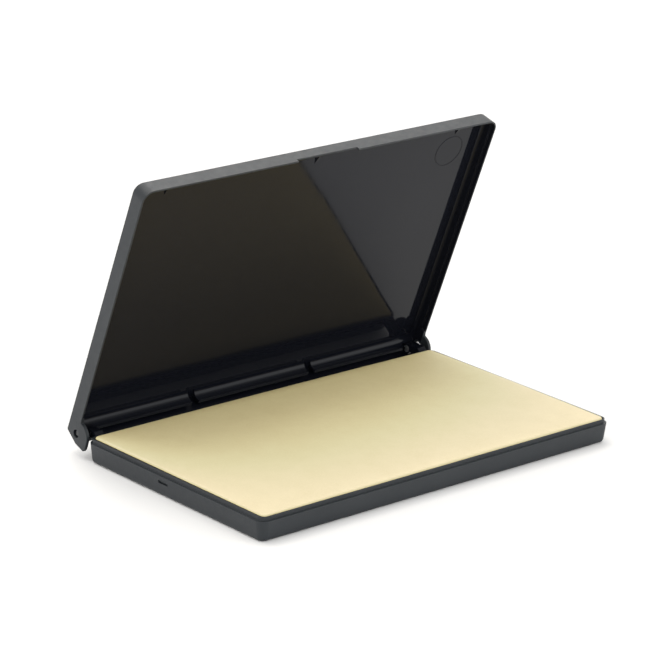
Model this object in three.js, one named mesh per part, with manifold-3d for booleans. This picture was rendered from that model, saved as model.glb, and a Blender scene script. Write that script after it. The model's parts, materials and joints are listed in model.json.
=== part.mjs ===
// A flat ink pad in a hinged plastic case, for rubber stamps and paper crafts.
// Units are millimetres. X runs along the hinge, -Y is the side where the lid opens, +Z is up.
// The origin is the middle of the base's underside. The lid stands open, as it rests in use.
import * as THREE from 'three';
import { mergeVertices } from 'three/addons/utils/BufferGeometryUtils.js';
import Module from 'manifold-3d';

const wasm = await Module();
wasm.setup();

// ---- driving dimensions ----
const CASE_LENGTH = 164;
const BASE_DEPTH = 95.2;
const PAD_LENGTH = 160;
const PAD_DEPTH = 92;

// base tray
const LEDGE_HEIGHT = 7.6; // the lid's rim closes onto this ledge
const LEDGE_WIDTH = 0.8;
const LIP_HEIGHT = 9.1; // the thin lip inside the ledge, around the pad
const FLOOR_THICKNESS = 1.6;
const BASE_CORNER_RADIUS = 3.4;
const BASE_DRAFT = 0.9; // how much the walls lean in towards the underside
const BASE_BOTTOM_FILLET = 1.5;
const BASE_BOTTOM_CORNER_RADIUS = 1; // the smallest radius that a corner shrinks to at the underside
const PAD_CLEARANCE = 0.25;
const PAD_CORNER_RADIUS = 1.6;

// hinge
const HINGE_Y = 53.8;
const HINGE_Z = 8.6;
const LID_OPEN_ANGLE = THREE.MathUtils.degToRad(69.8);
const PIN_RADIUS = 1.3;
const ARM_BORE_RADIUS = 1.4;
const EAR_BORE_RADIUS = 1.5;
const PIN_END_RECESS = 0.9; // how far the pin ends stand below the ears' outer faces
const PIN_LENGTH = 6.4;
const ARM_OUTER_X = 78.6;
const ARM_INNER_X = 74.9;
const ARM_BOSS_RADIUS = 2.1;
const ARM_ROOT_INSET = 0.15; // how far the arms reach into the lip and the ledge they grow from
const ARM_ROOT_DEPTH = 0.4;
const ARM_NECK_SLOPE = 1.2; // the run over which an arm rises from the lip to its neck
const ARM_NECK_DROP = 0.3; // how far the neck's top is below the top of the boss

// lid, measured from the hinge axis while the lid is closed
const LID_LENGTH = 163.9;
const LID_FRONT_REACH = 103.5;
const LID_REAR_REACH = 4.4;
const LID_TOP = 5.85;
const LID_RIM = -0.85;
const LID_WALL = 1.3;
const LID_PANEL = 1.6;
const LID_DRAFT = 0.43;
const LID_EDGE_FILLET = 1.07;
const LID_CORNER_RADIUS = 4.2;
const LID_REAR_CORNER_RADIUS = 1.3;
const LID_LEAST_CORNER_RADIUS = 0.4;
const LID_CORNER_SHRINK = 0.9; // the most that a corner radius shrinks towards the panel
const HINGE_SIDE_DRAFT = 2.3; // the hinge side leans in much more than the other walls
const RIM_THICKNESS = 0.65; // the rim is rebated so that it fits outside the base's lip
const REBATE_TOP = 0.85;
const REBATE_REAR_Y = -7.3;
const REBATE_REAR_CORNER_RADIUS = 0.4;
const THUMB_NOTCH_LENGTH = 28;
const THUMB_NOTCH_DEPTH = 1.25;
const THUMB_NOTCH_REACH = 3; // how far the notch cuts in from the lid's front
const EAR_DROP = 6.3; // the ears' lowest point below the hinge axis
const EAR_FRONT_REACH = 5.3;
const EAR_LOBE_Z = -1.1; // the ear's round front is centred this far below the hinge axis
const EAR_ROOT_REACH = 6.9; // where the ear's front meets the rim
const EAR_CORNER_RADIUS = 2.3; // the ear's lower rear corner
const GUSSET_THICKNESS = 0.8;
const GUSSET_X = 67.5;
const GUSSET_HEIGHT = 2; // on the front wall
const GUSSET_REACH = 6.6; // along the panel
const HINGE_RIB_REACH = 0.75; // the rear face of the rib behind the hinge axis
const HINGE_RIB_THICKNESS = 1.2;
const HINGE_RIB_BOTTOM = 0.3;
const HINGE_RIB_FILLET = 3; // the cove between the rib and the panel
const HINGE_RIB_GAP_X = 27.7; // the middle of the gap between two lengths of rib
const HINGE_RIB_GAP = 3;
const ARM_RELIEF_RADIUS = 2.5; // the ribs are hollowed out around the base's hinge arms
const ARM_RELIEF_SIDE_GAP = 0.5;
const WELD = 0.3; // how far ribs and gussets reach into the wall they stand on

// pad stack, from the tray's floor upwards, with a small gap between the layers
const LAYER_GAP = 0.15;
const STRIP_THICKNESS = 0.2;
const STRIP_LENGTH = 148;
const STRIP_WIDTH = 14;
const STRIP_Y = 27;
const BOARD_THICKNESS = 0.8;
const CLOTH_THICKNESS = 0.6;
const CLOTH_TOP = 9.7;
const CLOTH_EDGE_ROUNDING = 0.9;

const OVERSHOOT = 1; // how far a cut starts outside the material that it removes
const CORNER_SEGMENTS = 6;
const BORE_SEGMENTS = 24;

// ---- shape helpers ----

// A rounded rectangle at one height, as a ring of points that runs anticlockwise.
function ring({ z, halfX, front, rear, frontRadius, rearRadius = frontRadius }) {
  const corners = [
    { x: halfX - rearRadius, y: rear - rearRadius, radius: rearRadius, start: 0 },
    { x: rearRadius - halfX, y: rear - rearRadius, radius: rearRadius, start: Math.PI / 2 },
    { x: frontRadius - halfX, y: front + frontRadius, radius: frontRadius, start: Math.PI },
    { x: halfX - frontRadius, y: front + frontRadius, radius: frontRadius, start: Math.PI * 1.5 },
  ];
  const points = [];
  for (const corner of corners) {
    for (let step = 0; step <= CORNER_SEGMENTS; step += 1) {
      const angle = corner.start + (Math.PI / 2) * (step / CORNER_SEGMENTS);
      const x = corner.x + corner.radius * Math.cos(angle);
      const y = corner.y + corner.radius * Math.sin(angle);
      points.push(new THREE.Vector3(x, y, z));
    }
  }
  return points;
}

// A ring centred on the origin, for the base and the pad layers.
function centredRing(z, length, depth, radius) {
  return ring({ z, halfX: length / 2, front: -depth / 2, rear: depth / 2, frontRadius: radius });
}

// The closed skin through a list of rings, with a flat cap on the first and the last one.
function loft(rings) {
  const count = rings[0].length;
  const points = rings.flat();
  const indices = [];
  for (let level = 0; level + 1 < rings.length; level += 1) {
    for (let i = 0; i < count; i += 1) {
      const next = (i + 1) % count;
      const a = level * count + i;
      const b = level * count + next;
      const c = a + count;
      const d = b + count;
      indices.push(a, b, d, a, d, c);
    }
  }
  const firstCentre = points.length;
  points.push(centreOf(rings[0]));
  const lastCentre = points.length;
  points.push(centreOf(rings[rings.length - 1]));
  const lastStart = (rings.length - 1) * count;
  for (let i = 0; i < count; i += 1) {
    const next = (i + 1) % count;
    indices.push(firstCentre, next, i);
    indices.push(lastCentre, lastStart + i, lastStart + next);
  }
  const geometry = new THREE.BufferGeometry().setFromPoints(points);
  geometry.setIndex(indices);
  return geometry;
}

function centreOf(points) {
  return new THREE.Box3().setFromPoints(points).getCenter(new THREE.Vector3());
}

// A profile drawn in Y and Z, extruded along X.
function prismAlongX(shape, fromX, toX) {
  const geometry = new THREE.ExtrudeGeometry(shape, {
    depth: toX - fromX,
    bevelEnabled: false,
    curveSegments: BORE_SEGMENTS / 2,
  });
  const alongX = new THREE.Matrix4().makeBasis(
    new THREE.Vector3(0, 1, 0),
    new THREE.Vector3(0, 0, 1),
    new THREE.Vector3(1, 0, 0),
  );
  return geometry.applyMatrix4(alongX).translate(fromX, 0, 0);
}

function cylinderAlongX(radius, fromX, toX, y, z) {
  const geometry = new THREE.CylinderGeometry(radius, radius, toX - fromX, BORE_SEGMENTS);
  geometry.rotateZ(Math.PI / 2);
  return geometry.translate((fromX + toX) / 2, y, z);
}

function box(lengthX, depthY, heightZ, x, y, z) {
  return new THREE.BoxGeometry(lengthX, depthY, heightZ).translate(x, y, z);
}

function solid(geometry) {
  const bare = geometry.clone();
  bare.deleteAttribute('normal');
  bare.deleteAttribute('uv');
  const merged = mergeVertices(bare, 1e-4);
  return new wasm.Manifold(new wasm.Mesh({
    numProp: 3,
    vertProperties: new Float32Array(merged.attributes.position.array),
    triVerts: new Uint32Array(merged.index.array),
  }));
}

function geometryOf(manifold) {
  const mesh = manifold.getMesh();
  const geometry = new THREE.BufferGeometry();
  geometry.setAttribute('position', new THREE.BufferAttribute(mesh.vertProperties, 3));
  geometry.setIndex(new THREE.BufferAttribute(mesh.triVerts, 1));
  geometry.computeVertexNormals();
  return geometry;
}

function cut(body, ...tools) {
  return tools.reduce((rest, tool) => rest.subtract(solid(tool)), body);
}

function join(body, ...pieces) {
  return pieces.reduce((whole, piece) => whole.add(solid(piece)), body);
}

function part(name, geometry, material) {
  const mesh = new THREE.Mesh(geometry, material);
  mesh.name = name;
  return mesh;
}

// ---- base tray ----

function trayRings() {
  const baseRing = (z, inset) => centredRing(
    z,
    CASE_LENGTH - 2 * inset,
    BASE_DEPTH - 2 * inset,
    Math.max(BASE_CORNER_RADIUS - inset, BASE_BOTTOM_CORNER_RADIUS),
  );
  const cavityRing = (z) => centredRing(
    z, PAD_LENGTH + 2 * PAD_CLEARANCE, PAD_DEPTH + 2 * PAD_CLEARANCE, PAD_CORNER_RADIUS);
  const rings = [];
  const filletSteps = 4;
  for (let step = 0; step <= filletSteps; step += 1) {
    const angle = (Math.PI / 2) * (step / filletSteps);
    const z = BASE_BOTTOM_FILLET * (1 - Math.cos(angle));
    const lean = BASE_DRAFT * (1 - z / LEDGE_HEIGHT);
    rings.push(baseRing(z, lean + BASE_BOTTOM_FILLET * (1 - Math.sin(angle))));
  }
  rings.push(baseRing(LEDGE_HEIGHT, 0));
  rings.push(baseRing(LEDGE_HEIGHT, LEDGE_WIDTH));
  rings.push(baseRing(LIP_HEIGHT, LEDGE_WIDTH));
  rings.push(cavityRing(LIP_HEIGHT));
  rings.push(cavityRing(FLOOR_THICKNESS));
  return rings;
}

// One hinge arm's side view: a neck from the rear lip to a round boss on the hinge axis.
function armShape() {
  const lipY = PAD_DEPTH / 2 + PAD_CLEARANCE + ARM_ROOT_INSET;
  const wallY = BASE_DEPTH / 2 - ARM_ROOT_INSET;
  const rootZ = LEDGE_HEIGHT - ARM_ROOT_DEPTH;
  const neckMeetsBoss = Math.PI + Math.asin((HINGE_Z - LEDGE_HEIGHT) / ARM_BOSS_RADIUS);
  const shape = new THREE.Shape();
  shape.moveTo(lipY, rootZ);
  shape.lineTo(wallY, rootZ);
  shape.lineTo(wallY, LEDGE_HEIGHT);
  shape.absarc(HINGE_Y, HINGE_Z, ARM_BOSS_RADIUS, neckMeetsBoss, Math.PI * 2.5, false);
  shape.lineTo(lipY + ARM_NECK_SLOPE, HINGE_Z + ARM_BOSS_RADIUS - ARM_NECK_DROP);
  shape.lineTo(lipY, LIP_HEIGHT);
  return shape;
}

function baseTrayGeometry() {
  let tray = solid(loft(trayRings()));
  for (const side of [-1, 1]) {
    const low = side < 0 ? -ARM_OUTER_X : ARM_INNER_X;
    const high = side < 0 ? -ARM_INNER_X : ARM_OUTER_X;
    tray = join(tray, prismAlongX(armShape(), low, high));
    const bore = cylinderAlongX(ARM_BORE_RADIUS, low - OVERSHOOT, high + OVERSHOOT, HINGE_Y, HINGE_Z);
    tray = cut(tray, bore);
  }
  return geometryOf(tray);
}

// ---- hinge pins ----

function hingePin(name, side, material) {
  const outerX = LID_LENGTH / 2 - PIN_END_RECESS;
  const middleX = side * (outerX - PIN_LENGTH / 2);
  const pin = part(name, cylinderAlongX(PIN_RADIUS, -PIN_LENGTH / 2, PIN_LENGTH / 2, 0, 0), material);
  pin.position.set(middleX, HINGE_Y, HINGE_Z);
  return pin;
}

// ---- lid, in its closed attitude with the hinge axis through its own origin ----

// How far a wall stands in from the rim's outline at a given height: its lean and its rounded top edge.
function wallInset(z, draft, top) {
  const lean = draft * Math.max(0, (z - LID_RIM) / (LID_TOP - LID_RIM));
  const rise = Math.max(0, z - (top - LID_EDGE_FILLET));
  const rounding = LID_EDGE_FILLET - Math.sqrt(Math.max(0, LID_EDGE_FILLET ** 2 - rise ** 2));
  return lean + rounding;
}

// The stack of rings of the lid's outside, or of its hollow when wall and panel are given.
function lidRings({ bottom, wall = 0, panel = 0 }) {
  const top = LID_TOP - panel;
  const levels = [bottom, LID_RIM];
  const filletSteps = 4;
  for (let step = 0; step <= filletSteps; step += 1) {
    levels.push(top - LID_EDGE_FILLET * (1 - Math.sin((Math.PI / 2) * (step / filletSteps))));
  }
  return levels.map((z) => {
    const inset = wall + wallInset(z, LID_DRAFT, top);
    const shrink = wall + Math.min(inset - wall, LID_CORNER_SHRINK);
    return ring({
      z,
      halfX: LID_LENGTH / 2 - inset,
      front: inset - LID_FRONT_REACH,
      rear: LID_REAR_REACH - wall - wallInset(z, HINGE_SIDE_DRAFT, top),
      frontRadius: LID_CORNER_RADIUS - shrink,
      rearRadius: Math.max(LID_REAR_CORNER_RADIUS - shrink, LID_LEAST_CORNER_RADIUS),
    });
  });
}

// The side view of an ear, from inside the wall down around the pin.
function earShape() {
  const lobeRadius = EAR_DROP + EAR_LOBE_Z;
  const lobeY = lobeRadius - EAR_FRONT_REACH;
  const cornerY = LID_REAR_REACH - EAR_CORNER_RADIUS;
  const cornerZ = EAR_CORNER_RADIUS - EAR_DROP;
  const shape = new THREE.Shape();
  shape.moveTo(-EAR_ROOT_REACH, 0);
  shape.lineTo(-EAR_ROOT_REACH, LID_RIM);
  shape.absarc(lobeY, EAR_LOBE_Z, lobeRadius, Math.PI, Math.PI * 1.5, false);
  shape.absarc(cornerY, cornerZ, EAR_CORNER_RADIUS, Math.PI * 1.5, Math.PI * 2, false);
  shape.lineTo(LID_REAR_REACH, 0);
  return shape;
}

function earTab(side) {
  const outer = LID_LENGTH / 2;
  const inner = outer - LID_WALL;
  return prismAlongX(earShape(), side < 0 ? -outer : inner, side < 0 ? -inner : outer);
}

// Everything under the rim that isn't an ear.
function belowRim() {
  const margin = 4;
  const depth = LID_FRONT_REACH + LID_REAR_REACH + margin;
  const middleY = (LID_REAR_REACH - LID_FRONT_REACH) / 2;
  const height = EAR_DROP + margin;
  let waste = solid(box(LID_LENGTH + margin, depth, height, 0, middleY, LID_RIM - height / 2));
  waste = cut(waste, earTab(-1), earTab(1));
  return waste;
}

function rimRebate() {
  const rebateRing = (z) => ring({
    z,
    halfX: LID_LENGTH / 2 - RIM_THICKNESS,
    front: -LID_FRONT_REACH + RIM_THICKNESS,
    rear: REBATE_REAR_Y,
    frontRadius: LID_CORNER_RADIUS - RIM_THICKNESS,
    rearRadius: REBATE_REAR_CORNER_RADIUS,
  });
  return loft([rebateRing(LID_RIM - OVERSHOOT), rebateRing(REBATE_TOP)]);
}

function thumbNotch() {
  const fromY = -LID_FRONT_REACH - OVERSHOOT;
  const depth = THUMB_NOTCH_REACH + OVERSHOOT;
  const height = 2 * THUMB_NOTCH_DEPTH;
  return box(THUMB_NOTCH_LENGTH, depth, height, 0, fromY + depth / 2, LID_RIM);
}

// A small gusset that stiffens the front wall.
function gusset(x) {
  const wallY = LID_WALL - WELD - LID_FRONT_REACH;
  const panelZ = LID_TOP - LID_PANEL + WELD;
  const shape = new THREE.Shape();
  shape.moveTo(wallY, panelZ);
  shape.lineTo(wallY, panelZ - WELD - GUSSET_HEIGHT);
  shape.lineTo(wallY + WELD + GUSSET_REACH, panelZ);
  return prismAlongX(shape, x - GUSSET_THICKNESS / 2, x + GUSSET_THICKNESS / 2);
}

// One length of the rib that stiffens the hinge side, with a cove between its front face and the panel.
function hingeRib(fromX, toX) {
  const panelZ = LID_TOP - LID_PANEL;
  const frontY = HINGE_RIB_REACH - HINGE_RIB_THICKNESS;
  const coveY = frontY - HINGE_RIB_FILLET;
  const coveZ = panelZ - HINGE_RIB_FILLET;
  const shape = new THREE.Shape();
  shape.moveTo(HINGE_RIB_REACH, panelZ + WELD);
  shape.lineTo(coveY, panelZ + WELD);
  shape.absarc(coveY, coveZ, HINGE_RIB_FILLET, Math.PI / 2, 0, true);
  shape.lineTo(frontY, HINGE_RIB_BOTTOM);
  shape.lineTo(HINGE_RIB_REACH, HINGE_RIB_BOTTOM);
  return prismAlongX(shape, fromX, toX);
}

function hingeRibs() {
  const gapStart = HINGE_RIB_GAP_X - HINGE_RIB_GAP / 2;
  const gapEnd = HINGE_RIB_GAP_X + HINGE_RIB_GAP / 2;
  const end = LID_LENGTH / 2 - LID_WALL + WELD;
  return [hingeRib(-end, -gapEnd), hingeRib(-gapStart, gapStart), hingeRib(gapEnd, end)];
}

// The ears' pin holes, and the round reliefs in the ribs that clear the base's arms.
function hingeHoles() {
  const outer = LID_LENGTH / 2;
  const inner = outer - LID_WALL;
  const reliefStart = ARM_INNER_X - ARM_RELIEF_SIDE_GAP;
  return [
    cylinderAlongX(EAR_BORE_RADIUS, -outer - OVERSHOOT, OVERSHOOT - inner, 0, 0),
    cylinderAlongX(EAR_BORE_RADIUS, inner - OVERSHOOT, outer + OVERSHOOT, 0, 0),
    cylinderAlongX(ARM_RELIEF_RADIUS, -inner, -reliefStart, 0, 0),
    cylinderAlongX(ARM_RELIEF_RADIUS, reliefStart, inner, 0, 0),
  ];
}

function lidGeometry() {
  const shellBottom = -EAR_DROP - OVERSHOOT;
  let lid = solid(loft(lidRings({ bottom: shellBottom })));
  lid = cut(lid, loft(lidRings({ bottom: shellBottom - OVERSHOOT, wall: LID_WALL, panel: LID_PANEL })));
  lid = lid.subtract(belowRim());
  lid = join(lid, ...[-1, 0, 1].map((place) => gusset(place * GUSSET_X)));
  lid = join(lid, ...hingeRibs());
  lid = cut(lid, rimRebate(), thumbNotch(), ...hingeHoles());
  return geometryOf(lid);
}

// ---- pad stack ----

function flatLayer(bottom, thickness, length, depth) {
  return loft([
    centredRing(bottom, length, depth, PAD_CORNER_RADIUS - CLOTH_THICKNESS),
    centredRing(bottom + thickness, length, depth, PAD_CORNER_RADIUS - CLOTH_THICKNESS),
  ]);
}

// The cloth is a shallow cap over the felt, with a rounded upper edge.
function clothGeometry(bottom) {
  const inner = 2 * CLOTH_THICKNESS;
  const innerRadius = PAD_CORNER_RADIUS - CLOTH_THICKNESS;
  const rings = [
    centredRing(CLOTH_TOP - CLOTH_THICKNESS, PAD_LENGTH - inner, PAD_DEPTH - inner, innerRadius),
    centredRing(bottom, PAD_LENGTH - inner, PAD_DEPTH - inner, innerRadius),
    centredRing(bottom, PAD_LENGTH, PAD_DEPTH, PAD_CORNER_RADIUS),
  ];
  const roundingSteps = 3;
  for (let step = 0; step <= roundingSteps; step += 1) {
    const angle = (Math.PI / 2) * (step / roundingSteps);
    const inset = CLOTH_EDGE_ROUNDING * (1 - Math.cos(angle));
    const z = CLOTH_TOP - CLOTH_EDGE_ROUNDING * (1 - Math.sin(angle));
    rings.push(centredRing(z, PAD_LENGTH - 2 * inset, PAD_DEPTH - 2 * inset, PAD_CORNER_RADIUS));
  }
  return loft(rings);
}

// ---- assembly ----

const casePlastic = new THREE.MeshStandardMaterial({ color: 0x2b2d2f, roughness: 0.45, metalness: 0 });
const pinPlastic = new THREE.MeshStandardMaterial({ color: 0x3a3c3e, roughness: 0.4, metalness: 0 });
const cloth = new THREE.MeshStandardMaterial({ color: 0xe9dcb4, roughness: 0.95, metalness: 0 });
const felt = new THREE.MeshStandardMaterial({ color: 0xefe6cc, roughness: 1, metalness: 0 });
const board = new THREE.MeshStandardMaterial({ color: 0x9c8f78, roughness: 0.9, metalness: 0 });
const adhesive = new THREE.MeshStandardMaterial({ color: 0xf1efe6, roughness: 0.6, metalness: 0 });

const inkPad = new THREE.Group();

inkPad.add(part('base_tray', baseTrayGeometry(), casePlastic));
inkPad.add(hingePin('hinge_pin_left', -1, pinPlastic));
inkPad.add(hingePin('hinge_pin_right', 1, pinPlastic));

const stripBottom = FLOOR_THICKNESS + LAYER_GAP;
for (const [name, y] of [['adhesive_strip_front', -STRIP_Y], ['adhesive_strip_rear', STRIP_Y]]) {
  const strip = part(name, box(STRIP_LENGTH, STRIP_WIDTH, STRIP_THICKNESS, 0, 0, 0), adhesive);
  strip.position.set(0, y, stripBottom + STRIP_THICKNESS / 2);
  inkPad.add(strip);
}

const boardBottom = stripBottom + STRIP_THICKNESS + LAYER_GAP;
const feltBottom = boardBottom + BOARD_THICKNESS + LAYER_GAP;
const feltThickness = CLOTH_TOP - CLOTH_THICKNESS - LAYER_GAP - feltBottom;
const coreLength = PAD_LENGTH - 2 * CLOTH_THICKNESS - 2 * LAYER_GAP;
const coreDepth = PAD_DEPTH - 2 * CLOTH_THICKNESS - 2 * LAYER_GAP;
inkPad.add(part('pad_backing_board', flatLayer(boardBottom, BOARD_THICKNESS, coreLength, coreDepth), board));
inkPad.add(part('pad_felt', flatLayer(feltBottom, feltThickness, coreLength, coreDepth), felt));
inkPad.add(part('pad_cover_cloth', clothGeometry(boardBottom), cloth));

const lidHinge = new THREE.Group();
lidHinge.position.set(0, HINGE_Y, HINGE_Z);
lidHinge.rotation.x = -LID_OPEN_ANGLE;
lidHinge.add(part('lid', lidGeometry(), casePlastic));
inkPad.add(lidHinge);

export default inkPad;
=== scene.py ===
"""The looks of a flat ink pad in a hinged plastic case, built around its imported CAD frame.

Units are metres. +X runs along the hinge, -Y is the side where the lid opens, +Z is up out of the pad.
The lid is shaped in its closed attitude with the hinge axis through the origin, then turned open.
"""
import json
import math

import bmesh
import bpy
from mathutils import Matrix, Vector, noise


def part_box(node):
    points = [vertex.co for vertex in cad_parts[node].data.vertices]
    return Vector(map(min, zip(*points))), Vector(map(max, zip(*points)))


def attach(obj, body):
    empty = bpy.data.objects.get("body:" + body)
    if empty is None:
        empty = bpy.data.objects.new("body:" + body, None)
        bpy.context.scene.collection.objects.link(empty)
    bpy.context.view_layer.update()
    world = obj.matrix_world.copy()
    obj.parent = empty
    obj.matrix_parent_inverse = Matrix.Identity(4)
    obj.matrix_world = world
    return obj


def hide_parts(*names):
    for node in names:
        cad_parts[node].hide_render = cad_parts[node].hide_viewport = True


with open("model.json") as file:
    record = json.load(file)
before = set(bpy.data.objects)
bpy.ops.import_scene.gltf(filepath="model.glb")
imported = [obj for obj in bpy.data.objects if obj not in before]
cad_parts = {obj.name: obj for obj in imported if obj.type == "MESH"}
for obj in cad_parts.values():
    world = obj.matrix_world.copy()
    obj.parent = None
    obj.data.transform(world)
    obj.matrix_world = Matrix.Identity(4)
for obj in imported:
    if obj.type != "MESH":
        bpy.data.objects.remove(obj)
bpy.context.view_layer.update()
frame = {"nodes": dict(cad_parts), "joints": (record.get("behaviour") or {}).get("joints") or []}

MM = 0.001
LEFT, RIGHT = -1, 1
TURN = 2 * math.pi
CORNER_STEPS = 12  # how finely a quarter of a round corner is divided
CIRCLE_STEPS = 48
FILLET_STEPS = 8
OVERSHOOT = 1.0 * MM  # how far a cut starts outside the material that it removes
TRAY_EDGE = 0.16 * MM  # the softened edges of the mouldings
LID_EDGE = 0.09 * MM
SHARP_ANGLE = math.radians(32)  # edges that turn by more than this are softened
FLAT_ANGLE = math.radians(0.3)  # faces that turn by less than this count as one plane
SAME_POINT = 0.002 * MM  # points closer than this are merged

# ---- places and sizes taken from the frame ----

hinge = frame["joints"][0]
HINGE = Vector(hinge["pos_m"])
OPEN_ANGLE = math.radians(-hinge["range_deg"][0])
LID_PLACE = Matrix.Translation(HINGE) @ Matrix.Rotation(OPEN_ANGLE, 4, Vector(hinge["axis"]))


def closed_box(node):
    """A lid node's lowest and highest corner in the lid's closed attitude, from the hinge axis."""
    to_closed = LID_PLACE.inverted()
    points = [to_closed @ vertex.co for vertex in frame["nodes"][node].data.vertices]
    low = Vector(min(point[axis] for point in points) for axis in range(3))
    high = Vector(max(point[axis] for point in points) for axis in range(3))
    return low, high


lid_low, lid_high = closed_box("lid")
tray_low, tray_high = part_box("base_tray")
cloth_low, cloth_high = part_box("pad_cover_cloth")
felt_low, felt_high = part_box("pad_felt")

# base tray
TRAY_LENGTH = tray_high.x - tray_low.x
TRAY_DEPTH = -2 * tray_low.y
LEDGE_HEIGHT = 7.6 * MM
LEDGE_WIDTH = 0.8 * MM
LIP_HEIGHT = 9.1 * MM
TRAY_FLOOR = 1.6 * MM
TRAY_CORNER = 3.4 * MM
TRAY_DRAFT = 0.9 * MM
TRAY_BOTTOM_FILLET = 1.5 * MM
TRAY_BOTTOM_CORNER = 1.0 * MM
PAD_CLEARANCE = 0.25 * MM
ARM_OUTER_X = 78.6 * MM
ARM_INNER_X = 74.9 * MM
ARM_BOSS_RADIUS = tray_high.y - HINGE.y
ARM_BORE_RADIUS = 1.4 * MM
ARM_ROOT_INSET = 0.15 * MM
ARM_ROOT_DEPTH = 0.4 * MM
ARM_NECK_SLOPE = 1.2 * MM
ARM_NECK_DROP = 0.3 * MM
GATE_SLOT_START = 0.55  # the slot's depth is counted from this share of the draft inside the outline
GATE_SLOT_DEPTH = 0.6 * MM
GATE_SLOT_FRONT, GATE_SLOT_REAR = 2.6 * MM, 7.6 * MM
GATE_SLOT_BOTTOM, GATE_SLOT_TOP = 4.8 * MM, 5.7 * MM

# lid, in its closed attitude
LID_LENGTH = lid_high.x - lid_low.x
LID_FRONT = lid_low.y
LID_REAR = lid_high.y
LID_TOP = lid_high.z
EAR_BOTTOM = lid_low.z
LID_RIM = -0.85 * MM
LID_WALL = 1.3 * MM
LID_PANEL = 1.6 * MM
LID_DRAFT = 0.43 * MM
LID_EDGE_FILLET = 1.07 * MM
LID_CORNER = 4.2 * MM
LID_REAR_CORNER = 1.3 * MM
LID_CORNER_SHRINK = 0.9 * MM
LID_LEAST_CORNER = 0.4 * MM
HINGE_SIDE_DRAFT = 2.3 * MM
RIM_THICKNESS = 0.65 * MM
REBATE_TOP = 0.85 * MM
REBATE_REAR = -7.3 * MM
REBATE_REAR_CORNER = 0.4 * MM
NOTCH_LENGTH = 28 * MM
NOTCH_DEPTH = 1.25 * MM
NOTCH_REACH = 3.0 * MM  # how far the notch cuts in from the lid's front
EAR_BORE_RADIUS = 1.5 * MM
EAR_FRONT_REACH = 5.3 * MM
EAR_LOBE_Z = -1.1 * MM
EAR_ROOT_REACH = 6.9 * MM
EAR_CORNER = 2.3 * MM
GUSSET_THICKNESS = 0.8 * MM
GUSSET_X = 67.5 * MM
GUSSET_HEIGHT = 2.0 * MM
GUSSET_REACH = 6.6 * MM
RIB_REAR = 0.75 * MM
RIB_THICKNESS = 1.2 * MM
RIB_BOTTOM = 0.3 * MM
RIB_COVE = 3.0 * MM
RIB_GAP_X = 27.7 * MM
RIB_GAP = 3.0 * MM
ARM_RELIEF_RADIUS = 2.5 * MM
ARM_RELIEF_SIDE_GAP = 0.5 * MM
WELD = 0.3 * MM
RIM_SLACK = 0.02 * MM  # a face this far inside the rim's or the panel's thickness still counts as inner
PANEL_SLACK = 0.05 * MM
EJECTOR_PLACE = (66.6 * MM, -89.4 * MM)
EJECTOR_RADIUS = 6.4 * MM
EJECTOR_WIDTH = 0.3 * MM
EJECTOR_HEIGHT = 0.045 * MM
EJECTOR_ROOT = 1.0 * MM  # how far the ring and its hole reach into the panel
EJECTOR_HOLE_ROOT = 0.9 * MM

# hinge pins
PIN_CHAMFER = 0.22 * MM
DIMPLE_DEPTH = 0.18 * MM
DIMPLE_RADIUS = 0.5 * MM
DIMPLE_FLOOR_RADIUS = 0.2 * MM

# pad
PAD_LENGTH = cloth_high.x - cloth_low.x
PAD_DEPTH = cloth_high.y - cloth_low.y
PAD_CORNER = 1.6 * MM
FINE_STEP = 0.2 * MM  # the pad's grid is this fine in a band along its edges
FINE_BAND = 2.4 * MM
COARSE_STEP = 1.1 * MM
CORNER_FALL = 30 * MM  # the crown grows over these distances from a corner and from an edge
EDGE_FALL = 2.5 * MM
LOPSIDED = 0.3  # how much fuller the pad is at its right end than in its middle
SIDE_RING_DROP = 2.5  # in edge radii, from the pad's top to a ring of points on its sides
DENT_SIZE = 11 * MM
DENT_FREE_EDGE = 1.5 * MM  # dents fade out over this distance from the edge


# ---- mesh helpers ----

def new_object(name, mesh):
    made = bpy.data.objects.new(name, mesh)
    bpy.context.scene.collection.objects.link(made)
    return made


def object_from_bmesh(name, shape):
    bmesh.ops.recalc_face_normals(shape, faces=shape.faces[:])
    mesh = bpy.data.meshes.new(name)
    shape.to_mesh(mesh)
    shape.free()
    return new_object(name, mesh)


def arc(centre, radius, start, end, steps):
    """Points on an arc, as pairs; start and end are in radians."""
    points = []
    for step in range(steps + 1):
        angle = start + (end - start) * step / steps
        points.append((centre[0] + radius * math.cos(angle), centre[1] + radius * math.sin(angle)))
    return points


def ring(z, half_x, front, rear, front_radius, rear_radius):
    """A rounded rectangle at one height, anticlockwise from above."""
    corners = (
        (half_x - rear_radius, rear - rear_radius, rear_radius),
        (rear_radius - half_x, rear - rear_radius, rear_radius),
        (front_radius - half_x, front + front_radius, front_radius),
        (half_x - front_radius, front + front_radius, front_radius),
    )
    points = []
    for quarter, (x, y, radius) in enumerate(corners):
        start = quarter * TURN / 4
        corner = arc((x, y), radius, start, start + TURN / 4, CORNER_STEPS)
        points += [Vector((px, py, z)) for px, py in corner]
    return points


def centred_ring(z, length, depth, radius):
    return ring(z, length / 2, -depth / 2, depth / 2, radius, radius)


def edge_distance(x, y, half_x, half_y, radius):
    """How far a point is inside a rounded rectangle."""
    beyond_x = abs(x) - (half_x - radius)
    beyond_y = abs(y) - (half_y - radius)
    if beyond_x > 0 and beyond_y > 0:
        return max(0.0, radius - math.hypot(beyond_x, beyond_y))
    return max(0.0, radius - max(beyond_x, beyond_y))


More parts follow.
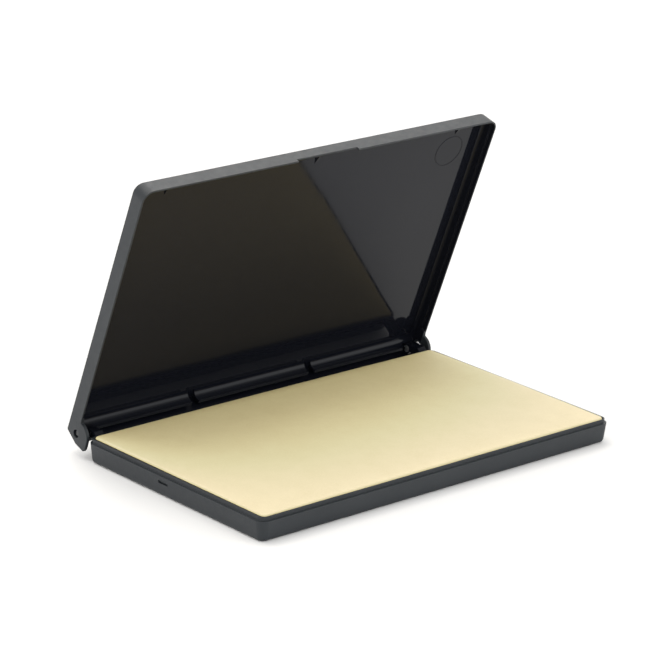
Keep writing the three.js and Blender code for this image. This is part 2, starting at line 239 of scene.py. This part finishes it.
def loft(name, rings):
    """The closed skin through a list of rings, with a flat cap at each end."""
    shape = bmesh.new()
    rows = [[shape.verts.new(point) for point in points] for points in rings]
    count = len(rows[0])
    for lower, upper in zip(rows, rows[1:]):
        for i in range(count):
            after = (i + 1) % count
            shape.faces.new((lower[i], lower[after], upper[after], upper[i]))
    shape.faces.new(list(reversed(rows[0])))
    shape.faces.new(rows[-1])
    return object_from_bmesh(name, shape)


def prism_along_x(name, outline, from_x, to_x):
    """A side view drawn in Y and Z, extruded along X."""
    return loft(name, [[Vector((x, y, z)) for y, z in outline] for x in (from_x, to_x)])


def circle(centre, radius):
    return arc(centre, radius, 0, TURN * (1 - 1 / CIRCLE_STEPS), CIRCLE_STEPS - 1)


def rod_along_x(name, stations, centre=(0.0, 0.0)):
    """A turned piece along X, from (x, radius) stations."""
    return loft(name, [[Vector((x, y, z)) for y, z in circle(centre, radius)] for x, radius in stations])


def post_along_z(name, stations, centre):
    """A turned piece along Z, from (z, radius) stations."""
    return loft(name, [[Vector((x, y, z)) for x, y in circle(centre, radius)] for z, radius in stations])


def block(name, low, high):
    corners = [(low[1], low[2]), (high[1], low[2]), (high[1], high[2]), (low[1], high[2])]
    return prism_along_x(name, corners, low[0], high[0])


def apply_modifiers(piece):
    depsgraph = bpy.context.evaluated_depsgraph_get()
    mesh = bpy.data.meshes.new_from_object(piece.evaluated_get(depsgraph), depsgraph=depsgraph)
    piece.modifiers.clear()
    piece.data = mesh


def combine(body, operation, tools):
    """Joins tools to a body (UNION) or cuts them away (DIFFERENCE), one after another."""
    for tool in tools:
        step = body.modifiers.new(tool.name, "BOOLEAN")
        step.operation = operation
        step.solver = "EXACT"
        step.object = tool
        apply_modifiers(body)
        bpy.data.objects.remove(tool)


def tidy_faces(piece):
    """Merges doubled points and dissolves edges between faces that lie in one plane."""
    shape = bmesh.new()
    shape.from_mesh(piece.data)
    bmesh.ops.remove_doubles(shape, verts=shape.verts[:], dist=SAME_POINT)
    bmesh.ops.dissolve_limit(
        shape, angle_limit=FLAT_ANGLE, verts=shape.verts[:], edges=shape.edges[:])
    bmesh.ops.recalc_face_normals(shape, faces=shape.faces[:])
    shape.to_mesh(piece.data)
    shape.free()


def soften_edges(piece, width, segments=3):
    """Rounds every sharp edge a little, and shades flat faces flat and round ones smooth."""
    bevel = piece.modifiers.new("edges", "BEVEL")
    bevel.width = width
    bevel.segments = segments
    bevel.limit_method = "ANGLE"
    bevel.angle_limit = SHARP_ANGLE
    bevel.use_clamp_overlap = False
    bevel.miter_outer = "MITER_ARC"
    piece.data.shade_smooth()
    normals = piece.modifiers.new("normals", "WEIGHTED_NORMAL")
    normals.weight = 60
    apply_modifiers(piece)


# ---- base tray ----

def tray_rings():
    def outer(z, inset):
        radius = max(TRAY_CORNER - inset, TRAY_BOTTOM_CORNER)
        return centred_ring(z, TRAY_LENGTH - 2 * inset, TRAY_DEPTH - 2 * inset, radius)

    rings = []
    for angle in (TURN / 4 * step / FILLET_STEPS for step in range(FILLET_STEPS + 1)):
        z = TRAY_BOTTOM_FILLET * (1 - math.cos(angle))
        lean = TRAY_DRAFT * (1 - z / LEDGE_HEIGHT)
        rings.append(outer(z, lean + TRAY_BOTTOM_FILLET * (1 - math.sin(angle))))
    rings += [outer(LEDGE_HEIGHT, 0), outer(LEDGE_HEIGHT, LEDGE_WIDTH), outer(LIP_HEIGHT, LEDGE_WIDTH)]
    for z in (LIP_HEIGHT, TRAY_FLOOR):
        rings.append(centred_ring(
            z, PAD_LENGTH + 2 * PAD_CLEARANCE, PAD_DEPTH + 2 * PAD_CLEARANCE, PAD_CORNER))
    return rings


def arm_outline():
    """One hinge arm's side view: a neck from the rear lip to a round boss on the hinge axis."""
    lip = PAD_DEPTH / 2 + PAD_CLEARANCE + ARM_ROOT_INSET
    wall = TRAY_DEPTH / 2 - ARM_ROOT_INSET
    root = LEDGE_HEIGHT - ARM_ROOT_DEPTH
    boss_start = -TURN / 2 + math.asin((HINGE.z - LEDGE_HEIGHT) / ARM_BOSS_RADIUS)
    boss = arc((HINGE.y, HINGE.z), ARM_BOSS_RADIUS, boss_start, TURN / 4, steps=32)
    neck_top = HINGE.z + ARM_BOSS_RADIUS - ARM_NECK_DROP
    neck = [(lip + ARM_NECK_SLOPE, neck_top), (lip, LIP_HEIGHT)]
    return [(lip, root), (wall, root), (wall, LEDGE_HEIGHT)] + boss + neck


def gate_slot():
    """A shallow slot that the mould leaves in the left wall."""
    wall_x = tray_low.x + TRAY_DRAFT * GATE_SLOT_START
    low = (wall_x - OVERSHOOT, GATE_SLOT_FRONT, GATE_SLOT_BOTTOM)
    return block("gate_slot", low, (wall_x + GATE_SLOT_DEPTH, GATE_SLOT_REAR, GATE_SLOT_TOP))


def make_tray():
    tray = loft("tray_moulding", tray_rings())
    for side in (LEFT, RIGHT):
        low, high = sorted((side * ARM_INNER_X, side * ARM_OUTER_X))
        combine(tray, "UNION", [prism_along_x("arm", arm_outline(), low, high)])
        bore = [(low - OVERSHOOT, ARM_BORE_RADIUS), (high + OVERSHOOT, ARM_BORE_RADIUS)]
        combine(tray, "DIFFERENCE", [rod_along_x("bore", bore, (HINGE.y, HINGE.z))])
    combine(tray, "DIFFERENCE", [gate_slot()])
    tidy_faces(tray)
    soften_edges(tray, TRAY_EDGE)
    return tray


# ---- lid ----

def wall_inset(z, draft, top):
    """How far a wall stands in from the rim's outline: its lean and its rounded top edge."""
    lean = draft * max(0.0, (z - LID_RIM) / (LID_TOP - LID_RIM))
    rise = max(0.0, z - (top - LID_EDGE_FILLET))
    return lean + LID_EDGE_FILLET - math.sqrt(max(0.0, LID_EDGE_FILLET ** 2 - rise ** 2))


def lid_rings(bottom, wall=0.0, panel=0.0):
    """The lid's outside, or its hollow when the wall and panel thicknesses are given."""
    top = LID_TOP - panel
    levels = [bottom, LID_RIM]
    for angle in (TURN / 4 * step / CORNER_STEPS for step in range(CORNER_STEPS + 1)):
        levels.append(top - LID_EDGE_FILLET * (1 - math.sin(angle)))
    rings = []
    for z in levels:
        inset = wall_inset(z, LID_DRAFT, top)
        shrink = wall + min(inset, LID_CORNER_SHRINK)
        half_x = LID_LENGTH / 2 - wall - inset
        rear = LID_REAR - wall - wall_inset(z, HINGE_SIDE_DRAFT, top)
        rear_corner = max(LID_REAR_CORNER - shrink, LID_LEAST_CORNER)
        rings.append(ring(z, half_x, LID_FRONT + wall + inset, rear, LID_CORNER - shrink, rear_corner))
    return rings


def ear_outline():
    """The side view of an ear, from inside the wall down around the pin."""
    lobe_radius = EAR_LOBE_Z - EAR_BOTTOM
    lobe_centre = (lobe_radius - EAR_FRONT_REACH, EAR_LOBE_Z)
    corner_centre = (LID_REAR - EAR_CORNER, EAR_BOTTOM + EAR_CORNER)
    lobe = arc(lobe_centre, lobe_radius, TURN / 2, TURN * 3 / 4, steps=24)
    corner = arc(corner_centre, EAR_CORNER, TURN * 3 / 4, TURN, steps=12)
    return [(-EAR_ROOT_REACH, 0.0), (-EAR_ROOT_REACH, LID_RIM)] + lobe + corner + [(LID_REAR, 0.0)]


def below_rim():
    """Everything under the rim that isn't an ear."""
    margin = 2 * MM
    half = LID_LENGTH / 2
    corner = (-half - margin, LID_FRONT - margin, EAR_BOTTOM - 2 * margin)
    waste = block("waste", corner, (half + margin, LID_REAR + margin, LID_RIM))
    ears = []
    for side in (LEFT, RIGHT):
        low, high = sorted((side * (half - LID_WALL), side * (half + 2 * margin)))
        ears.append(prism_along_x("ear", ear_outline(), low, high))
    combine(waste, "DIFFERENCE", ears)
    return waste


def rim_rebate():
    """The step inside the rim that lets it close over the tray's lip."""
    half_x = LID_LENGTH / 2 - RIM_THICKNESS
    radius = LID_CORNER - RIM_THICKNESS
    return loft("rebate", [
        ring(z, half_x, LID_FRONT + RIM_THICKNESS, REBATE_REAR, radius, REBATE_REAR_CORNER)
        for z in (LID_RIM - OVERSHOOT, REBATE_TOP)])


def thumb_notch():
    half = NOTCH_LENGTH / 2
    low = (-half, LID_FRONT - OVERSHOOT, LID_RIM - NOTCH_DEPTH)
    return block("notch", low, (half, LID_FRONT + NOTCH_REACH, LID_RIM + NOTCH_DEPTH))


def gusset(x):
    """A small gusset that stiffens the front wall."""
    wall = LID_FRONT + LID_WALL - WELD
    panel = LID_TOP - LID_PANEL + WELD
    outline = [(wall, panel), (wall, panel - WELD - GUSSET_HEIGHT), (wall + WELD + GUSSET_REACH, panel)]
    return prism_along_x("gusset", outline, x - GUSSET_THICKNESS / 2, x + GUSSET_THICKNESS / 2)


def hinge_rib(from_x, to_x):
    """One length of the rib on the hinge side, with a cove between its front face and the panel."""
    panel = LID_TOP - LID_PANEL
    front = RIB_REAR - RIB_THICKNESS
    cove = arc((front - RIB_COVE, panel - RIB_COVE), RIB_COVE, TURN / 4, 0, steps=20)
    start = [(RIB_REAR, panel + WELD), (front - RIB_COVE, panel + WELD)]
    return prism_along_x("rib", start + cove + [(front, RIB_BOTTOM), (RIB_REAR, RIB_BOTTOM)], from_x, to_x)


def hinge_ribs():
    gap_start = RIB_GAP_X - RIB_GAP / 2
    gap_end = RIB_GAP_X + RIB_GAP / 2
    end = LID_LENGTH / 2 - LID_WALL + WELD
    spans = ((-end, -gap_end), (-gap_start, gap_start), (gap_end, end))
    return [hinge_rib(from_x, to_x) for from_x, to_x in spans]


def cut_hinge_holes(lid):
    """The ears' pin holes, and the round reliefs in the ribs that clear the tray's arms."""
    outer = LID_LENGTH / 2
    inner = outer - LID_WALL
    relief_start = ARM_INNER_X - ARM_RELIEF_SIDE_GAP
    for side in (LEFT, RIGHT):
        for start, end, radius in (
                (inner - OVERSHOOT, outer + OVERSHOOT, EAR_BORE_RADIUS),
                (relief_start, inner, ARM_RELIEF_RADIUS)):
            combine(lid, "DIFFERENCE", [rod_along_x("hole", [(side * start, radius), (side * end, radius)])])


def ejector_ring():
    """The faint raised ring that an ejector pin leaves on the inner face of the panel."""
    face = LID_TOP - LID_PANEL
    hole_radius = EJECTOR_RADIUS - EJECTOR_WIDTH
    outside = [(face - EJECTOR_HEIGHT, EJECTOR_RADIUS), (face + EJECTOR_ROOT, EJECTOR_RADIUS)]
    inside = [(face - OVERSHOOT, hole_radius), (face + EJECTOR_HOLE_ROOT, hole_radius)]
    disc = post_along_z("ejector", outside, EJECTOR_PLACE)
    hole = post_along_z("hole", inside, EJECTOR_PLACE)
    combine(disc, "DIFFERENCE", [hole])
    return disc


def make_lid():
    bottom = EAR_BOTTOM - OVERSHOOT
    lid = loft("lid_moulding", lid_rings(bottom))
    hollow = loft("hollow", lid_rings(bottom - OVERSHOOT, LID_WALL, LID_PANEL))
    combine(lid, "DIFFERENCE", [hollow, below_rim()])
    combine(lid, "UNION", [gusset(place * GUSSET_X) for place in (-1, 0, 1)])
    combine(lid, "UNION", hinge_ribs())
    combine(lid, "DIFFERENCE", [rim_rebate(), thumb_notch()])
    cut_hinge_holes(lid)
    combine(lid, "UNION", [ejector_ring()])
    tidy_faces(lid)
    soften_edges(lid, LID_EDGE, 2)
    return lid


def mark_arms(tray, index):
    """Gives the hinge arms the polished finish of the lid's inside; its darker colour also paints the shade
    that the arms sit in.
    """
    rear = TRAY_DEPTH / 2 - LEDGE_WIDTH
    bottom = LEDGE_HEIGHT - ARM_ROOT_DEPTH
    for face in tray.data.polygons:
        x, y, z = face.center
        if y > rear and z > bottom and ARM_INNER_X - MM < abs(x) < ARM_OUTER_X + MM:
            face.material_index = index


def mark_inner_faces(lid, index):
    """Gives the lid's polished inner faces their own material slot."""
    middle = (LID_FRONT + LID_REAR) / 2
    half_y = (LID_REAR - LID_FRONT) / 2
    top = LID_TOP - LID_PANEL + PANEL_SLACK
    for face in lid.data.polygons:
        x, y, z = face.center
        inside = edge_distance(x, y - middle, LID_LENGTH / 2, half_y, LID_CORNER)
        rear = LID_REAR - wall_inset(z, HINGE_SIDE_DRAFT, LID_TOP) - LID_WALL / 2
        if inside > RIM_THICKNESS - RIM_SLACK and y < rear and LID_RIM < z < top:
            face.material_index = index


# ---- hinge pins ----

def make_pin(name, node):
    """A plain pin with chamfered ends and a small dimple in each end."""
    low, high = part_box(node)
    radius = (high.z - low.z) / 2
    half = (high.x - low.x) / 2
    side = [(half, radius - PIN_CHAMFER), (half - PIN_CHAMFER, radius)]
    dimple = [(half - DIMPLE_DEPTH, DIMPLE_FLOOR_RADIUS), (half, DIMPLE_RADIUS)]
    stations = [(-x, r) for x, r in dimple + side] + [(x, r) for x, r in reversed(dimple + side)]
    pin = rod_along_x(name, stations)
    pin.data.transform(Matrix.Translation((low + high) / 2))
    pin.data.shade_smooth()
    return pin


# ---- pad ----

def rounded_place(x, y, half_x, half_y, radius):
    """Moves a point of a square corner onto the round one."""
    beyond_x = abs(x) - (half_x - radius)
    beyond_y = abs(y) - (half_y - radius)
    if beyond_x <= 0 or beyond_y <= 0:
        return x, y
    a, b = beyond_x / radius, beyond_y / radius
    round_x = half_x - radius + radius * a * math.sqrt(1 - b * b / 2)
    round_y = half_y - radius + radius * b * math.sqrt(1 - a * a / 2)
    return math.copysign(round_x, x), math.copysign(round_y, y)


def graded_line(half):
    """Places from -half to half, close together near both ends."""
    places = [half - FINE_STEP * step for step in range(int(FINE_BAND / FINE_STEP))]
    inner = places[-1] - FINE_STEP
    count = math.ceil(inner / COARSE_STEP)
    places += [inner * (1 - step / count) for step in range(count)]
    return [-place for place in places] + [0.0] + places[::-1]


def crown_share(x, y, half_x, half_y, inside):
    """How much of the crown a point has: none at the edge, little at the corners, most in the middle."""
    from_corner = math.hypot(half_x - abs(x), half_y - abs(y))
    fullness = 1 - math.exp(-from_corner / CORNER_FALL)
    lopsided = 1 + LOPSIDED * x / half_x
    return fullness * lopsided * (1 - math.exp(-inside / EDGE_FALL))


def pad_slab(name, low, high, corner, edge_radius, crown, unevenness):
    """A soft slab: crowned on top, round at its upper edge, straight at its sides."""
    half_x, half_y = (high.x - low.x) / 2, (high.y - low.y) / 2
    columns = graded_line(half_x)
    lines = graded_line(half_y)
    shape = bmesh.new()
    grid = []
    for flat_y in lines:
        row = []
        for flat_x in columns:
            x, y = rounded_place(flat_x, flat_y, half_x, half_y, corner)
            inside = edge_distance(x, y, half_x, half_y, corner)
            bend = max(0.0, edge_radius - inside)
            drop = edge_radius - math.sqrt(edge_radius ** 2 - bend ** 2)
            swell = crown * crown_share(x, y, half_x, half_y, inside)
            dents = unevenness * noise.fractal(Vector((x, y, 0)) / DENT_SIZE, 0.6, 2.0, 3)
            settle = min(1.0, inside / DENT_FREE_EDGE)
            row.append(shape.verts.new((x, y, high.z - drop + swell + dents * settle)))
        grid.append(row)
    for lower, upper in zip(grid, grid[1:]):
        for i in range(len(columns) - 1):
            shape.faces.new((lower[i], lower[i + 1], upper[i + 1], upper[i]))
    border = grid[0] + [row[-1] for row in grid[1:]]
    border += grid[-1][-2::-1] + [row[0] for row in grid[-2:0:-1]]
    for z in (high.z - SIDE_RING_DROP * edge_radius, low.z):
        under = [shape.verts.new((vertex.co.x, vertex.co.y, z)) for vertex in border]
        for i, vertex in enumerate(border):
            after = (i + 1) % len(border)
            shape.faces.new((under[i], under[after], border[after], vertex))
        border = under
    shape.faces.new(list(reversed(border)))
    slab = object_from_bmesh(name, shape)
    slab.data.shade_smooth()
    slab.data.set_sharp_from_angle(angle=math.radians(50))
    slab.data.transform(Matrix.Translation(((low.x + high.x) / 2, (low.y + high.y) / 2, 0)))
    return slab


# ---- materials ----

def add(tree, kind, inputs=None, **settings):
    """Adds a shader node, and fills its inputs with numbers, colours or other nodes' outputs."""
    node = tree.nodes.new("ShaderNode" + kind)
    for name, value in settings.items():
        setattr(node, name, value)
    for socket, value in (inputs or {}).items():
        if isinstance(value, bpy.types.NodeSocket):
            tree.links.new(value, node.inputs[socket])
        else:
            node.inputs[socket].default_value = value
    return node


def math_node(tree, operation, first, second=None):
    inputs = {0: first} if second is None else {0: first, 1: second}
    return add(tree, "Math", inputs, operation=operation).outputs[0]


def noise_of(tree, place, size, detail=3.0, roughness=0.5):
    """Noise with features of about that size, in metres."""
    inputs = {"Vector": place, "Scale": 1 / size, "Detail": detail, "Roughness": roughness}
    return add(tree, "TexNoise", inputs).outputs["Fac"]


def remap(tree, value, from_low, from_high, to_low, to_high):
    inputs = {"Value": value, 1: from_low, 2: from_high, 3: to_low, 4: to_high}
    return add(tree, "MapRange", inputs).outputs[0]


def mix_colours(tree, share, first, second):
    node = add(tree, "Mix", {0: share, 6: first, 7: second}, data_type="RGBA")
    return node.outputs[2]


def bump(tree, height, distance, strength=1.0, normal=None):
    inputs = {"Height": height, "Distance": distance, "Strength": strength}
    if normal is not None:
        inputs["Normal"] = normal
    return add(tree, "Bump", inputs).outputs["Normal"]


def new_material(name, **constants):
    """A material with constants on its shader's sockets; returns it, its tree and object coordinates."""
    material = bpy.data.materials.new(name)
    material.use_nodes = True
    tree = material.node_tree
    shader = tree.nodes["Principled BSDF"]
    for socket, value in constants.items():
        shader.inputs[socket.replace("_", " ")].default_value = value
    place = add(tree, "TexCoord").outputs["Object"]
    return material, tree, place


def connect(tree, **sockets):
    shader = tree.nodes["Principled BSDF"]
    for socket, value in sockets.items():
        tree.links.new(value, shader.inputs[socket.replace("_", " ")])


def textured_plastic():
    """Black polystyrene with the fine spark-eroded texture of the case's outside."""
    material, tree, place = new_material("case_textured", IOR=1.5, Specular_IOR_Level=0.21)
    grain = noise_of(tree, place, 0.35 * MM, 4.0, 0.6)
    patches = noise_of(tree, place, 14 * MM, 3.0, 0.55)
    scuffs = noise_of(tree, place, 2.2 * MM, 5.0, 0.7)
    shade = math_node(tree, "ADD", math_node(tree, "MULTIPLY", patches, 0.55),
                      math_node(tree, "MULTIPLY", scuffs, 0.45))
    colour = mix_colours(tree, shade, (0.011, 0.0135, 0.0165, 1), (0.020, 0.0235, 0.0275, 1))
    roughness = remap(tree, scuffs, 0.3, 0.7, 0.40, 0.54)
    coarse = bump(tree, scuffs, 0.05 * MM, 0.5)
    connect(tree, Base_Color=colour, Roughness=roughness, Normal=bump(tree, grain, 0.03 * MM, 1.0, coarse))
    return material


def polished_plastic():
    """The same plastic where the mould was polished: the inside of the lid."""
    material, tree, place = new_material(
        "case_polished", IOR=1.46, Specular_IOR_Level=0.125, Base_Color=(0.0048, 0.0055, 0.0085, 1))
    haze = noise_of(tree, place, 9 * MM, 5.0, 0.65)
    roughness = remap(tree, haze, 0.35, 0.7, 0.05, 0.10)
    sink = noise_of(tree, place, 48 * MM, 1.0, 0.4)
    connect(tree, Roughness=roughness, Normal=bump(tree, sink, 0.25 * MM, 1.0))
    return material


def pin_plastic():
    """Turned black plastic, with a faint fine grain."""
    material, tree, place = new_material("pin_turned", IOR=1.5)
    grain = noise_of(tree, place, 0.3 * MM)
    colour = mix_colours(tree, grain, (0.03, 0.032, 0.034, 1), (0.05, 0.052, 0.055, 1))
    roughness = remap(tree, grain, 0.3, 0.7, 0.36, 0.5)
    connect(tree, Base_Color=colour, Roughness=roughness, Normal=bump(tree, grain, 0.015 * MM))
    return material


def weave_height(tree, place, pitch):
    """A plain weave: threads along X and Y that pass over and under each other."""
    parts = add(tree, "SeparateXYZ", {0: place})
    waves = []
    for axis in (0, 1):
        turns = math_node(tree, "MULTIPLY", parts.outputs[axis], math.pi / pitch)
        waves.append(math_node(tree, "SINE", turns))
    over = math_node(tree, "MULTIPLY", math_node(tree, "MULTIPLY", waves[0], waves[1]), 0.4)
    threads = []
    for wave, operation in zip(waves, ("ADD", "SUBTRACT")):
        ridge = math_node(tree, "ABSOLUTE", wave)
        threads.append(math_node(tree, "MULTIPLY", ridge, math_node(tree, operation, 0.6, over)))
    return math_node(tree, "MAXIMUM", *threads)


def pad_cloth():
    """Undyed cotton with a very fine weave, slightly mottled, over felt."""
    material, tree, place = new_material("pad_cloth", Roughness=0.7, Specular_IOR_Level=0.25)
    wander = add(tree, "TexNoise", {"Vector": place, "Scale": 1 / (6 * MM), "Detail": 2.0}).outputs["Color"]
    drift = add(tree, "VectorMath", {0: wander, 1: (0.5, 0.5, 0.5)}, operation="SUBTRACT").outputs[0]
    scaled = add(tree, "VectorMath", {0: drift, "Scale": 0.5 * MM}, operation="SCALE").outputs[0]
    shifted = add(tree, "VectorMath", {0: place, 1: scaled}, operation="ADD").outputs[0]
    weave = weave_height(tree, shifted, 0.42 * MM)
    fibres = noise_of(tree, place, 0.8 * MM, 4.0, 0.65)
    clouds = noise_of(tree, place, 7 * MM, 4.0, 0.6)
    thread = mix_colours(tree, weave, (0.71, 0.575, 0.285, 1), (0.85, 0.72, 0.385, 1))
    speckled = mix_colours(tree, remap(tree, fibres, 0.35, 0.65, 0.0, 0.45), thread, (0.72, 0.585, 0.285, 1))
    clouded = mix_colours(tree, remap(tree, clouds, 0.3, 0.7, 0.0, 0.35), speckled, (0.88, 0.755, 0.41, 1))
    soft = bump(tree, fibres, 0.10 * MM, 0.8)
    connect(tree, Base_Color=clouded, Normal=bump(tree, weave, 0.05 * MM, 0.8, soft))
    return material


def wool_felt():
    """Pressed felt: short matted fibres."""
    material, tree, place = new_material("felt_matted", Roughness=0.96, Sheen_Weight=0.2)
    fibres = noise_of(tree, place, 0.5 * MM, 6.0, 0.75)
    clumps = noise_of(tree, place, 4 * MM, 3.0, 0.6)
    colour = mix_colours(tree, fibres, (0.55, 0.49, 0.37, 1), (0.80, 0.75, 0.63, 1))
    rough = bump(tree, clumps, 0.15 * MM, 0.8)
    connect(tree, Base_Color=colour, Normal=bump(tree, fibres, 0.15 * MM, 1.0, rough))
    return material


def grey_board():
    """Recycled paperboard with flecks."""
    material, tree, place = new_material("board_pulp", Roughness=0.85)
    pulp = noise_of(tree, place, 1.4 * MM, 6.0, 0.7)
    flecks = remap(tree, noise_of(tree, place, 0.7 * MM, 2.0), 0.62, 0.7, 0.0, 1.0)
    colour = mix_colours(tree, pulp, (0.22, 0.19, 0.14, 1), (0.40, 0.35, 0.27, 1))
    connect(tree, Base_Color=mix_colours(tree, flecks, colour, (0.12, 0.10, 0.08, 1)),
            Normal=bump(tree, pulp, 0.05 * MM))
    return material


def tape_film():
    """Double-sided tape: slightly wrinkled film over adhesive."""
    material, tree, place = new_material("tape_film", IOR=1.45)
    creases = noise_of(tree, place, 3 * MM, 4.0, 0.6)
    colour = mix_colours(tree, creases, (0.74, 0.71, 0.64, 1), (0.86, 0.84, 0.79, 1))
    connect(tree, Base_Color=colour, Roughness=remap(tree, creases, 0.3, 0.7, 0.3, 0.5),
            Normal=bump(tree, creases, 0.05 * MM))
    return material


def floor_paint():
    material, tree, place = new_material("floor_paint", Roughness=0.8)
    shade = noise_of(tree, place, 0.6, 2.0)
    connect(tree, Base_Color=mix_colours(tree, shade, (0.91, 0.91, 0.91, 1), (0.93, 0.93, 0.93, 1)))
    return material


# ---- studio ----

def make_camera():
    """A long lens 1.3 m away, to the left of the opening side and a little above."""
    azimuth, elevation, roll = (math.radians(angle) for angle in (-41.72, 18.60, 1.98))
    distance = 1.29937
    target = Vector((0.04552, 0.06756, 0.020))
    back = Vector((math.sin(azimuth) * math.cos(elevation), -math.cos(azimuth) * math.cos(elevation),
                   math.sin(elevation)))
    level = (-back).cross(Vector((0, 0, 1))).normalized()
    upright = level.cross(-back)
    across = level * math.cos(roll) + upright * math.sin(roll)
    up = upright * math.cos(roll) - level * math.sin(roll)
    lens = bpy.data.cameras.new("camera")
    lens.sensor_width = 36
    lens.lens = 191.70
    lens.clip_end = 50
    camera = new_object("camera", lens)
    turned = Matrix((across, up, back)).transposed().to_4x4()
    camera.matrix_world = Matrix.Translation(target + back * distance) @ turned
    bpy.context.scene.camera = camera


def make_floor():
    shape = bmesh.new()
    bmesh.ops.create_circle(shape, cap_ends=True, segments=96, radius=6)
    floor = object_from_bmesh("floor", shape)
    floor.data.materials.append(floor_paint())


def softbox(name, direction, distance, width, power, colour):
    """A square light that looks at the object from a direction."""
    light = bpy.data.lights.new(name, "AREA")
    light.shape = "SQUARE"
    light.size = width
    light.energy = power
    light.color = colour
    lamp = new_object(name, light)
    toward = Vector(direction).normalized()
    lamp.location = toward * distance
    lamp.rotation_euler = (-toward).to_track_quat("-Z", "Y").to_euler()
    return lamp


def make_world():
    """A tent of white light, brightest in a band above the floor."""
    world = bpy.data.worlds.new("studio")
    world.use_nodes = True
    tree = world.node_tree
    background = tree.nodes["Background"]
    background.inputs["Color"].default_value = (1.0, 0.99, 0.97, 1)
    height = add(tree, "SeparateXYZ", {0: add(tree, "TexCoord").outputs["Generated"]}).outputs[2]
    tree.links.new(remap(tree, height, 0.56, 0.64, 1.9, 0.84), background.inputs["Strength"])
    bpy.context.scene.world = world


def make_tone_curve():
    """The soft shoulder that a camera gives to its highlights."""
    view = bpy.context.scene.view_settings
    view.view_transform = "Standard"
    view.use_curve_mapping = True
    mapping = view.curve_mapping
    mapping.white_level = (1.45, 1.45, 1.45)
    combined = mapping.curves[3]
    for brightness, shown in ((0.05, 0.0725), (0.25, 0.36), (0.5, 0.63), (0.75, 0.80)):
        combined.points.new(brightness, shown)
    mapping.update()


def make_studio():
    make_world()
    make_tone_curve()
    softbox(
        "overhead", (-0.06, 0.34, 0.92), distance=1.6, width=1.4, power=28, colour=(1.0, 0.97, 0.92))
    card = softbox(
        "rear_right", (0.48, 0.36, 0.80), distance=1.4, width=0.5, power=6.2, colour=(1.0, 0.97, 0.93))
    card.visible_diffuse = False  # it is seen in reflections only
    softbox(
        "front_right", (0.63, -0.70, 0.33), distance=1.3, width=0.6, power=1.6, colour=(0.9, 0.96, 1.0))


# ---- assembly ----

make_camera()
make_floor()
make_studio()

textured = textured_plastic()
polished = polished_plastic()

tray = make_tray()
tray.data.materials.append(textured)
tray.data.materials.append(polished)
# the arms' darker polished colour is partly painted shade
mark_arms(tray, 1)
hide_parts("base_tray")
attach(tray, "root")

lid = make_lid()
lid.data.materials.append(textured)
lid.data.materials.append(polished)
mark_inner_faces(lid, 1)
lid.data.transform(LID_PLACE)
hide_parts("lid")
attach(lid, "lid")

turned = pin_plastic()
for node in ("hinge_pin_left", "hinge_pin_right"):
    pin = make_pin(node + "_turned", node)
    pin.data.materials.append(turned)
    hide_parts(node)
    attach(pin, "root")

cloth = pad_slab(
    "pad_cloth_cover", cloth_low, cloth_high - Vector((0, 0, 0.1 * MM)), PAD_CORNER,
    edge_radius=1.0 * MM, crown=1.15 * MM, unevenness=0.05 * MM)
cloth.data.materials.append(pad_cloth())
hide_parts("pad_cover_cloth")
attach(cloth, "root")

felt = pad_slab(
    "felt_core", felt_low, felt_high - Vector((0, 0, 0.35 * MM)), corner=1.0 * MM,
    edge_radius=0.8 * MM, crown=0.25 * MM, unevenness=0.04 * MM)
felt.data.materials.append(wool_felt())
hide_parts("pad_felt")
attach(felt, "root")

carried = {
    "pad_backing_board": grey_board(),
    "adhesive_strip_front": tape_film(),
    "adhesive_strip_rear": tape_film(),
}
for node, material in carried.items():
    frame["nodes"][node].data.materials.clear()
    frame["nodes"][node].data.materials.append(material)
